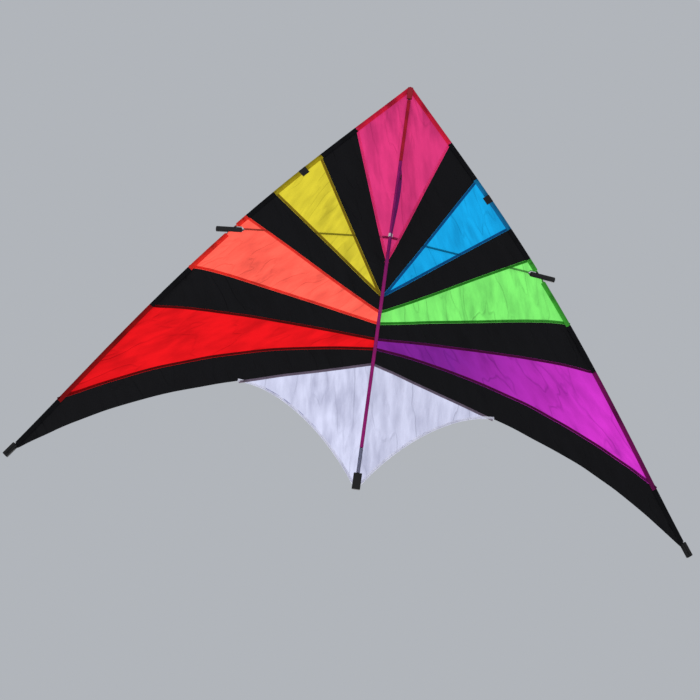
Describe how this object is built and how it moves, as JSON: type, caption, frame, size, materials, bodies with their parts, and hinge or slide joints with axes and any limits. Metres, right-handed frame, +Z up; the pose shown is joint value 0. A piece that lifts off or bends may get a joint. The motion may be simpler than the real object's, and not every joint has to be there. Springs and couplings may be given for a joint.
{
  "type": "delta kite",
  "caption": "Delta kite with a panelled rainbow sail, bowed leading edges, a spreader in two halves, a spine and a triangular keel with a tow eyelet.",
  "frame": {"origin": "centre of the tow eyelet at the keel's lowest corner", "axes": "+Z up, away from the ground when flying; +Y along the spine towards the nose; +X along the span, towards the kite's own right wing"},
  "size_m": [2.8116, 1.717, 0.6007],
  "materials": {
    "pink": "ripstop nylon",
    "black": "ripstop nylon",
    "yellow": "ripstop nylon",
    "coral": "ripstop nylon",
    "red": "ripstop nylon",
    "blue": "ripstop nylon",
    "green": "ripstop nylon",
    "purple": "ripstop nylon",
    "white": "ripstop nylon",
    "keel_purple": "ripstop nylon",
    "nose_red": "woven webbing",
    "carbon": "pultruded carbon or glass fibre rod",
    "vinyl": "satin vinyl tube",
    "aluminium": "satin",
    "eyelet_black": "black plated",
    "webbing": "woven webbing"
  },
  "bodies": {
    "frame": {"spine_upper_rod": "carbon", "spine_lower_rod": "carbon", "spine_ferrule": "aluminium", "spine_upper_sleeve": "pink", "spine_lower_sleeve": "keel_purple", "spine_end_sleeve": "white", "centre_tie": "white", "nose_pocket": "nose_red", "tail_pocket": "webbing"},
    "keel": {"keel_fin": "keel_purple", "tow_eyelet": "eyelet_black"},
    "right_wing": {"right_panel_1_pink": "pink", "right_panel_2_black": "black", "right_panel_3_yellow": "yellow", "right_panel_4_black": "black", "right_panel_5_coral": "coral", "right_panel_6_black": "black", "right_panel_7_red": "red", "right_panel_8_black": "black", "right_tail_panel": "white", "right_leading_edge_upper_rod": "carbon", "right_leading_edge_lower_rod": "carbon", "right_leading_edge_ferrule": "aluminium", "right_leading_edge_upper_sleeve": "black", "right_leading_edge_lower_sleeve": "black", "right_edge_wrap": "webbing", "right_tip_pocket": "webbing", "right_spreader_connector": "vinyl"},
    "right_spreader": {"right_spreader_rod": "carbon", "right_spreader_collar": "aluminium"},
    "left_wing": {"left_panel_1_pink": "pink", "left_panel_2_black": "black", "left_panel_3_blue": "blue", "left_panel_4_black": "black", "left_panel_5_green": "green", "left_panel_6_black": "black", "left_panel_7_purple": "purple", "left_panel_8_black": "black", "left_tail_panel": "white", "left_leading_edge_upper_rod": "carbon", "left_leading_edge_lower_rod": "carbon", "left_leading_edge_ferrule": "aluminium", "left_leading_edge_upper_sleeve": "black", "left_leading_edge_lower_sleeve": "black", "left_edge_wrap": "webbing", "left_tip_pocket": "webbing", "left_spreader_connector": "vinyl"},
    "left_spreader": {"left_spreader_rod": "carbon", "left_spreader_collar": "aluminium"}
  },
  "joints": [
    {"name": "right_wing_fold", "type": "hinge", "parent": "frame", "child": "right_wing", "pos_m": [0, 0, 0.232], "axis": [0, -1, 0], "range_deg": [0, 60]},
    {"name": "left_wing_fold", "type": "hinge", "parent": "frame", "child": "left_wing", "pos_m": [0, 0, 0.232], "axis": [0, 1, 0], "range_deg": [0, 60]},
    {"name": "right_spreader_slide", "type": "slide", "parent": "right_wing", "child": "right_spreader", "axis": [0.9703, 0, 0.2419], "range_m": [0, 0.012]},
    {"name": "left_spreader_slide", "type": "slide", "parent": "left_wing", "child": "left_spreader", "axis": [-0.9703, 0, 0.2419], "range_m": [0, 0.012]},
    {"name": "keel_swing", "type": "hinge", "parent": "frame", "child": "keel", "pos_m": [0, 0, 0.2], "axis": [0, 1, 0], "range_deg": [-75, 75]}
  ]
}
